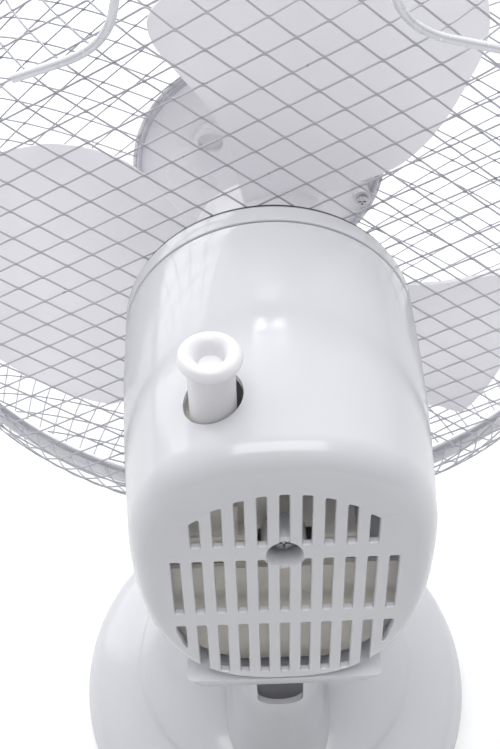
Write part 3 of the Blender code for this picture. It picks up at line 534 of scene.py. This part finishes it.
def make_collar():
    """The round collar in front of the cover, and a black ring on its front edge that paints the shade of the gap
    there.
    """
    profile = [(23.5, 21.0), (23.5, 9.6), (52.9, 9.6), (COLLAR_R - 0.5, 9.1), (COLLAR_R, 7.8),
               (COLLAR_R, 0.7), (COLLAR_R - 0.4, 0.5), (52.8, 0.5), (52.8, 7.2), (20.0, 7.2), (20.0, 21.0)]
    dress(turned("collar", filleted(profile, 0.5), along_axis(), 160), "head", "gloss_white", "front_bezel")
    # A black ring that paints the shade of the gap at the collar's front edge.
    gap_shade = [(50.0, 10.5), (54.3, 10.5), (54.3, 9.7), (50.0, 9.7)]
    dress(turned("collar_gap_shade", gap_shade, along_axis(), 160), "head", "black_plastic")


def make_tray():
    """The tray under the motor cover, with rounded edges and a hollow for the cover's belly."""
    floor, top = low("bottom_plate", 2), AXIS_Z - 50.0
    rear, front = 62.0, -46.0
    layers = []
    for height, half, back in ((floor, 26.8, rear - 2.2), (floor + 0.5, 27.7, rear - 1.6),
                               (floor + 1.6, 28.8, rear - 0.5), (floor + 3.0, 29.8, rear + 0.2),
                               (top, 36.4, rear + 2.5)):
        corners = [(-half, front), (half, front), (half, back), (-half, back)]
        layers.append([(x, y, height) for x, y in filleted(corners, 2.4, 5)])
    tray = prism("motor_tray", layers)
    belly = [[point + Vector((0, 0, -0.35)) for point in ring] for ring in cover_rings()]
    cut(tray,
        loft("belly", belly, close_first=True, close_last=True),
        block("above", (-60, -80, AXIS_Z - 54.5), (60, 90, AXIS_Z - 40)),
        rod("tray_hole", NECK_R + 0.6, (0, 0, AXIS_Z - 68), (0, 0, AXIS_Z - 48), 64))
    dress(tray, "head", "gloss_white", "bottom_plate")


def make_knob():
    """The clutch knob: a rolled rim round a shallow bowl, on a hollow stem."""
    top = KNOB_TOP
    outer = through([(7.2, top), (8.5, top - 0.4), (9.35, top - 1.5), (9.5, top - 2.7), (9.1, top - 3.8),
                     (8.3, top - 4.3)], 5)
    inner = through([(0, top - 5.2), (3.2, top - 5.2), (3.6, top - 4.7), (3.9, top - 3.4), (4.4, top - 2.0),
                     (5.2, top - 0.9), (6.2, top - 0.2)], 4)
    profile = [*outer, (7.4, top - 4.5), (7.1, top - 4.9), (7.1, top - 42), (5.2, top - 42), (5.2, top - 10),
               (0, top - 10), *inner]
    knob = turned("oscillation_knob", profile, upright(KNOB_X, KNOB_Y))
    dress(knob, "clutch", "satin_white", "clutch_knob")


# ---------------------------------------------------------------- guards

def rear_profile():
    """(radius, forward) points of the rear guard from its hub to its rim: flat, then one rounded shoulder."""
    width, depth = CAGE_R - 0.9 - MESH_FLAT_R, BAND_FRONT - 5.5 - MESH_FLAT
    turns = [math.radians(6 * i) for i in range(16)]
    shoulder = [(MESH_FLAT_R + width * math.sin(t), MESH_FLAT + depth * (1 - math.cos(t))) for t in turns]
    return [(20.0, MESH_FLAT), *shoulder]


def front_profile():
    """The same for the front guard, whose squarish dome starts flat under the front plate."""
    points = []
    depth = CAGE_FRONT - BAND_REAR - 9
    for i in range(25):
        angle = math.radians(90 * i / 24)
        radius = (CAGE_R - 0.9) * math.sin(angle) ** (2 / CAGE_SQUARENESS)
        points.append((radius, BAND_REAR + 9 + depth * math.cos(angle) ** (2 / CAGE_SQUARENESS)))
    return points


class Bowl:
    """Turns a place on the flat mesh sheet into a place on the guard that the sheet was pressed into."""

    def __init__(self, profile):
        self.points = [Vector(p) for p in profile]
        self.reach = [self.points[0].x]
        for a, b in zip(self.points, self.points[1:]):
            self.reach.append(self.reach[-1] + (b - a).length)

    def at(self, x, up):
        distance = math.hypot(x, up)
        k = 0
        while k < len(self.reach) - 2 and distance > self.reach[k + 1]:
            k += 1
        share = (distance - self.reach[k]) / (self.reach[k + 1] - self.reach[k])
        spot = self.points[k].lerp(self.points[k + 1], share)
        return forward(x / distance * spot.x, spot.y, up / distance * spot.x)


def zigzag(row, reach):
    """Points (along, up) of one zigzag wire of the sheet, which lies beside its neighbours at every weld."""
    half = MESH_WIDTH / 2
    rise = MESH_HEIGHT / 4 - WIRE_R
    middle = row * MESH_HEIGHT / 2
    count = int(reach / half) + 2
    points = []
    for i in range(-count, count + 1):
        side = 1 if (i + row) % 2 else -1
        for offset, share in ((-WELD / 2 - 0.45, 0.84), (-WELD / 2 + 0.35, 1.0), (WELD / 2 - 0.35, 1.0),
                              (WELD / 2 + 0.45, 0.84)):
            points.append((i * half + offset, middle + side * rise * share))
        points.append((i * half + half / 2, middle))
    return points


def clipped(points, inner, outer):
    """The stretches of a run of points that lie between two circles, ended on the circles."""
    runs, run = [], []
    for a, b in zip(points, points[1:]):
        a, b = Vector(a), Vector(b)
        inside_a, inside_b = (inner <= p.length <= outer for p in (a, b))
        if inside_a:
            run.append(a)
        if inside_a != inside_b:
            limit = inner if min(a.length, b.length) < inner else outer
            share = (limit - a.length) / (b.length - a.length)
            run.append(a.lerp(b, share))
        if run and not inside_b:
            runs.append(run)
            run = []
    return [run for run in runs if len(run) > 1]


def make_mesh(name, profile, inner, turn, nudge):
    """A guard of zigzag wires, welded side by side."""
    bowl = Bowl(profile)
    outer = bowl.reach[-1]
    rotation = Matrix.Rotation(turn, 2)
    rows = int(outer / (MESH_HEIGHT / 2)) + 1
    runs = []
    for row in range(-rows, rows + 1):
        sheet = [rotation @ (Vector(point) + Vector(nudge)) for point in zigzag(row, outer)]
        for run in clipped(sheet, inner, outer):
            runs.append([bowl.at(x, up) for x, up in run])
    return wires(name, runs, WIRE_R)


def ring_wire(name, radius, distance, thickness, body, slot):
    """A round wire bent into a ring about the motor's axis."""
    turns = [2 * math.pi * i / 120 for i in range(120)]
    run = [forward(radius * math.sin(t), distance, radius * math.cos(t)) for t in turns]
    dress(wires(name, [run], thickness, cyclic=True, resolution=3), body, slot)


def make_guards():
    """Both mesh guards, the rear one's hub, their edge wires and the nut that holds them."""
    rear = make_mesh("rear_mesh", rear_profile(), 44.0, MESH_TURN, (2.0, 1.0))
    dress(rear, "head", "wire_grey", "rear_guard")
    hub = [(46.5, 12.6), (46.5, 10.2), (24.2, 10.2), (24.2, 12.6)]
    dress(turned("guard_hub", filleted(hub, 0.5), along_axis(), 128), "head", "wire_grey")
    front = make_mesh("front_mesh", front_profile(), 54.5, -MESH_TURN, (5.0, -2.0))
    dress(front, "head", "wire_grey", "front_guard")
    ring_wire("rear_edge_wire", CAGE_R - 0.9, BAND_FRONT - 5.0, 1.2, "head", "wire_grey")
    ring_wire("plate_edge_wire", 55.5, CAGE_FRONT - 1.2, 1.2, "head", "wire_grey")
    nut = [(24.0, 19.0), (24.0, 12.9), (38.0, 12.9), (40.0, 14.0), (40.0, 17.0), (38.0, 19.0)]
    dress(turned("mesh_nut", filleted(nut, 0.6), along_axis(), 96), "head", "satin_white", "guard_nut")


def make_rim():
    """The band round both guards: a rolled channel with a clamp lug at the bottom."""
    r, rear, front = RIM_R, BAND_REAR, BAND_FRONT
    profile = [(r - 2.0, front), (r - 0.6, front - 0.3), (r, front - 1.6), (r - 0.35, front - 3.6),
               (r - 0.35, rear + 3.6), (r, rear + 1.6), (r - 0.6, rear + 0.3), (r - 2.0, rear),
               (r - 2.0, rear + 1.2), (r - 1.4, rear + 2.4), (r - 1.4, front - 2.4), (r - 2.0, front - 1.2)]
    ring = turned("rim_band", filleted(profile, 0.6, 3), along_axis(), 192)
    base = -CAGE_R - 9.6
    middle = (rear + front) / 2
    lugs = []
    for side in (-1, 1):
        near, far = sorted((side * 1.2, side * 5.2))
        bottom, top = forward(near, front - 2, base), forward(far, rear + 2, -CAGE_R - 2.2)
        lugs.append(block(f"lug_{side}", bottom, top, 0.8))
    join(ring, *lugs)
    cut(ring, rod("lug_hole", 1.7, forward(-9, middle, base + 3.0), forward(9, middle, base + 3.0)))
    dress(ring, "head", "satin_white", "rim_ring")


def make_handle():
    """The carry handle: feet on the rear mesh, a bend into each leg, and a rounded grip, a little askew."""
    half = [(77.0, 109.5), (66.0, 112.5), (56.0, 115.5), (49.0, 119.5), (44.5, 124.5), (42.0, 130.5),
            (HANDLE_HALF, 138.0), (HANDLE_HALF, HANDLE_TOP - 18)]
    corner = [math.radians(90 * i / 4) for i in range(1, 5)]
    half += [(HANDLE_HALF - 16 + 16 * math.cos(t), HANDLE_TOP - 16 + 16 * math.sin(t)) for t in corner]
    turn = Matrix.Rotation(-HANDLE_TURN, 2)
    path = [turn @ Vector(spot) for spot in through(half + [(-x, up) for x, up in reversed(half)], 6)]
    distance = SEAM_Y - 0.5 * (low("carry_handle", 1) + high("carry_handle", 1))
    handle = wires("wire_handle", [[forward(x, distance, up) for x, up in path]], 1.5, resolution=4)
    dress(handle, "head", "handle_white", "carry_handle")


def make_front_plate():
    """The round plate in front of the cage, with screw bosses and a ring boss on its back."""
    r = PLATE_R
    profile = through([(0, 120.5), (25, 120.1), (45, 118.7), (54, 117.3)], 6) + [
        (r - 1.2, 116.0), (r, 114.6), (r - 0.2, 113.4), (r - 1.4, 113.4), (r - 2.4, 114.4)] + through(
        [(54, 115.2), (44, 116.7), (25, 118.1), (0, 118.5)], 6)
    plate = turned("badge_plate", profile, along_axis(), 128, closed=False)
    posts, bores = [], []
    for i in range(3):
        turn = math.radians(PLATE_SCREW_TURN + 120 * i)
        at = along_axis(-PLATE_SCREW_R * math.sin(turn), PLATE_SCREW_R * math.cos(turn))
        post = [(0, 106.0), (4.2, 106.0), (4.2, 116.6), (0, 116.6)]
        bore = [(0, 100), (1.7, 100), (1.7, 115.5), (0, 115.5)]
        posts.append(turned(f"plate_post_{i}", post, at, 40, closed=False))
        bores.append(turned(f"plate_bore_{i}", bore, at, 24, closed=False))
    at = along_axis(22, 15)
    post = [(0, 113.0), (8, 113.0), (8, 118.8), (0, 118.8)]
    bore = [(0, 110.0), (5.6, 110.0), (5.6, 117.0), (0, 117.0)]
    posts.append(turned("ring_post", post, at, 48, closed=False))
    bores.append(turned("ring_bore", bore, at, 48, closed=False))
    join(plate, *posts)
    cut(plate, *bores)
    dress(plate, "head", "satin_white", "front_plate")


# ---------------------------------------------------------------- fan

def make_blade(index):
    """One paddle: a twisted and bowed sheet from the hub to its rounded tip, given thickness."""
    columns = 20
    root, tip = BLADE_OUTLINE[0][0], BLADE_OUTLINE[-1][0]
    rings = []
    for radius, lead, trail in through(BLADE_OUTLINE, 4):
        line = []
        for j in range(columns):
            across = j / (columns - 1)
            angle = math.radians(lead + (trail - lead) * across + 120.0 * index)
            pitch = BLADE_LEAD + (BLADE_TRAIL - BLADE_LEAD) * across - BLADE_BOW * math.sin(math.pi * across)
            at_hub = 47.0 + 14.0 * across
            rise = at_hub + (pitch - at_hub) * min(1.0, 1.6 * (radius - root) / (tip - root))
            line.append(forward(-radius * math.sin(angle), rise, radius * math.cos(angle)))
        rings.append(line)
    shape = bmesh.new()
    grid = [[shape.verts.new(point) for point in line] for line in rings]
    for near, far in zip(grid, grid[1:]):
        for j in range(columns - 1):
            shape.faces.new((near[j], near[j + 1], far[j + 1], far[j]))
    blade = finished(f"blade_{index}", shape)
    thicken = blade.modifiers.new("thickness", "SOLIDIFY")
    thicken.thickness = 1.8 * MM
    thicken.offset = 0.0
    return settled(blade, 50)


def make_fan():
    profile = [(12.0, 64.0), (27.0, 64.0), (HUB_R, 61.5), (HUB_R, 40.0), (27.6, 40.0), (27.6, 59.5),
               (9.0, 61.0), (9.0, 40.0), (3.35, 40.0), (3.35, 64.0)]
    hub = turned("fan_hub", filleted(profile, 0.7), along_axis(), 96)
    join(hub, *[make_blade(i) for i in range(3)])
    smooth(hub, 40)
    dress(hub, "rotor", "blade_grey", "fan_blade")
    cap = through([(0, 77.0), (6.0, 76.6), (11.0, 74.5), (14.0, 70.5), (14.5, 64.5)], 5)
    cap += [(3.4, 64.5), (3.4, 71.6), (0, 71.6)]
    dress(turned("spinner", cap, along_axis(), closed=False), "rotor", "satin_white", "spinner_cap")


# ---------------------------------------------------------------- pedestal

def base_rings(grow=0.0, floor=1.0, count=128):
    """Rings of the oval dome, from its rim up to its crown, with a low step where the middle is raised."""
    profile = [(BASE_R, floor), (BASE_R, 5.0), (BASE_R - 1.7, 10.0), (87.0, 15.2), (78.0, 20.0),
               (69.0, 23.6), (66.4, 24.9), (65.0, 26.5), (62.0, 27.9), (55.0, 30.1), (40.0, 33.0),
               (20.0, 34.6), (8.0, 34.8)]
    rings = []
    for radius, height in through(profile, 4):
        outline = superellipse(radius + grow, radius + grow, radius + grow, 2.0, count)
        rings.append([(x, BASE_Y + y * BASE_STRETCH, height + grow) for x, y in outline])
    return rings


def panel_frame():
    """The frame of the tilted key panel: its origin on the panel's top face, local z out of it."""
    return Matrix.Translation((0, PANEL_Y, PANEL_Z)) @ Matrix.Rotation(PANEL_TILT, 4, "X")


def make_base():
    """The domed base with its openings for the keys, the wires and the cord gland."""
    shell = loft("base_dome", base_rings(), close_last=True, wall=2.4)
    cut(shell,
        block("panel_opening", (-30.2, -13.2, -14), (30.2, 13.2, 12), 0, panel_frame()),
        rod("cable_way", 11.0, (0, COLUMN_Y, 20), (0, COLUMN_Y, 45)),
        rod("gland_hole", 4.4, (0, BASE_Y + 80, 8.5), (0, BASE_Y + 110, 8.5)))
    dress(shell, "base", "gloss_white", "base_shell")


def make_column():
    """The pedestal's column, which flares into the dome, with the window in its rear and a rib behind it."""
    stations = [(18, 31.0, 42.0), (26, 27.0, 38.0), (32, 24.4, 35.0), (40, 22.4, 32.0), (52, 20.6, 29.8),
                (64, 19.2, 28.6), (78, 18.4, 27.8), (100, 18.2, 25.8), (122, 19.4, 24.0), (128.5, 18.9, 23.2),
                (130, 17.9, 22.0)]
    rings = []
    for height, width, depth in through(stations, 5):
        middle = COLUMN_Y - 4.0 * max(0.0, (height - 75) / 55)
        outline = superellipse(width, depth, depth, 2.5, 96)
        rings.append([(x, middle + y, height) for x, y in outline])
    column = loft("pedestal_column", rings, wall=2.4)
    cut(column,
        loft("dome_envelope", base_rings(GAP, -5.0, 96), close_first=True, close_last=True),
        block("rear_window", (-9.5, COLUMN_Y + 12, 80.5), (9.5, COLUMN_Y + 40, 104), 1.0),
        rod("tilt_bore", 4.3, (-40, 0, TILT_Z), (40, 0, TILT_Z)))
    dress(column, "base", "gloss_white", "column")
    dress(block("column_rib", (-11.5, 25.0, 42.0), (11.5, 27.0, 108.0), 0.4), "base", "satin_white")


def make_keys():
    """The key panel with its three piano keys."""
    at = panel_frame()
    pitch, half_x, half_y = 18.6, 8.2, 9.0
    panel = block("key_panel", (-29.8, -12.8, -6.0), (29.8, 12.8, 1.2), 0.9, at)
    windows = []
    for i, key in enumerate(("off", "low", "high")):
        x = (i - 1) * pitch
        low_corner, high_corner = (x - half_x - GAP, -half_y - GAP, -9), (x + half_x + GAP, half_y + GAP, 5)
        windows.append(block("window", low_corner, high_corner, 0.6, at))
        rows = []
        for height, inset in ((-4.5, 0.0), (3.2, 0.0), (4.6, 0.35), (5.4, 1.0), (5.8, 2.2)):
            corners = [(x - half_x + inset, -half_y + inset), (x + half_x - inset, -half_y + inset),
                       (x + half_x - inset, half_y - inset), (x - half_x + inset, half_y - inset)]
            slope = 0.13 * max(0.0, height) / 5.8
            rows.append([at @ Vector((px, py, height - slope * (py + half_y)))
                         for px, py in filleted(corners, 1.4)])
        cap = prism(f"piano_key_{key}", rows)
        dress(cap, f"{key}_key", "satin_white", f"key_{key}")
    cut(panel, *windows)
    dress(panel, "base", "satin_white", "key_frame")


def make_feet():
    """The four rubber feet, each with a shallow hollow in its underside."""
    pad = [(0, -GAP), (7, -GAP), (6.6, -2.3), (3.0, -2.3), (2.4, -1.6), (0, -1.6)]
    for i in range(1, 5):
        lowest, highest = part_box(f"rubber_foot_{i}")
        middle = (lowest + highest) / 2 / MM
        profile = filleted(pad, 0.4, closed=False)
        dress(turned(f"foot_{i}", profile, upright(middle.x, middle.y), 48, closed=False),
              "base", "rubber", f"rubber_foot_{i}")


# ---------------------------------------------------------------- floor, light and camera

def plain(name, colour, roughness):
    made = bpy.data.materials.new(name)
    made.use_nodes = True
    shader = made.node_tree.nodes["Principled BSDF"]
    shader.inputs["Base Color"].default_value = (*colour, 1)
    shader.inputs["Roughness"].default_value = roughness
    return made


def make_floor():
    mesh = bpy.data.meshes.new("floor")
    shape = bmesh.new()
    bmesh.ops.create_grid(shape, x_segments=1, y_segments=1, size=6.0)
    bmesh.ops.translate(shape, vec=(0, 0, FLOOR_Z * MM), verts=shape.verts)
    shape.to_mesh(mesh)
    shape.free()
    floor = bpy.data.objects.new("floor", mesh)
    bpy.context.scene.collection.objects.link(floor)
    mesh.materials.append(plain("floor_white", (0.96, 0.96, 0.96), 0.8))


def softbox(name, spot, target, width, height, power):
    light = bpy.data.lights.new(name, "AREA")
    light.shape = "RECTANGLE"
    light.size, light.size_y = width, height
    light.energy = power
    lamp = bpy.data.objects.new(name, light)
    lamp.location = spot
    lamp.rotation_euler = (Vector(target) - Vector(spot)).to_track_quat("-Z", "Y").to_euler()
    bpy.context.scene.collection.objects.link(lamp)


def sky(tree):
    """Bright overhead and in front of the fan, dim behind it: how far a direction leans to the light."""
    place = node(tree, "ShaderNodeTexCoord")
    lean = node(tree, "ShaderNodeVectorMath", operation="DOT_PRODUCT")
    lean.inputs[1].default_value = (0.0, -0.72, 0.69)
    tree.links.new(place.outputs["Generated"], lean.inputs[0])
    return lean.outputs["Value"]


def make_world():
    world = bpy.data.worlds.new("studio")
    world.use_nodes = True
    tree = world.node_tree
    background = tree.nodes["Background"]
    lean = sky(tree)
    tint = node(tree, "ShaderNodeMix", data_type="RGBA")
    tint.inputs["A"].default_value = (0.98, 0.93, 0.97, 1)
    tint.inputs["B"].default_value = (0.96, 0.975, 1.0, 1)
    tree.links.new(ranged(tree, lean, 0, 1, -0.1, 0.5), tint.inputs["Factor"])
    tree.links.new(tint.outputs["Result"], background.inputs["Color"])
    tree.links.new(ranged(tree, lean, 0.04, 1.62, -0.25, 0.95), background.inputs["Strength"])
    bpy.context.scene.world = world


def make_light():
    """Broad softboxes overhead and in front, and a small one of four panes whose image shows on the cover."""
    make_world()
    softbox("top_box", (0.0, 0.30, 1.9), (0, -0.02, 0.2), 1.1, 0.9, 14)
    softbox("front_box", (0.8, -1.6, 0.7), (0, -0.15, 0.22), 2.0, 1.1, 14)
    for column in (-1, 1):
        for row in (-1, 1):
            spot = (0.01 + 0.085 * column, -1.092 + 0.011 * row, 1.508 + 0.011 * row)
            softbox(f"pane_{column}_{row}", spot, (0.0, -0.02, 0.26), 0.15, 0.024, 0.30)
    view = bpy.context.scene.view_settings
    view.view_transform = "Standard"
    view.exposure = 0.0


def make_camera():
    """The photograph's place and angle: behind the fan, looking 45 degrees down along the motor's axis."""
    data = bpy.data.cameras.new("camera")
    data.sensor_fit = "VERTICAL"
    data.sensor_height = 36.0
    data.lens = 48.06
    data.clip_start = 0.01
    camera = bpy.data.objects.new("camera", data)
    turn = (Matrix.Rotation(math.radians(179.446), 4, "Z") @ Matrix.Rotation(math.radians(44.48), 4, "X")
            @ Matrix.Rotation(math.radians(-1.585), 4, "Z"))
    camera.matrix_world = Matrix.Translation((0.01077, 0.22999, 0.47278)) @ turn
    bpy.context.scene.collection.objects.link(camera)
    bpy.context.scene.camera = camera


def main():
    make_camera()
    dress_frame()
    make_cover()
    make_cover_screw()
    make_collar()
    make_tray()
    make_knob()
    make_guards()
    make_rim()
    make_handle()
    make_front_plate()
    make_fan()
    make_base()
    make_column()
    make_keys()
    make_feet()
    make_floor()
    make_light()


main()
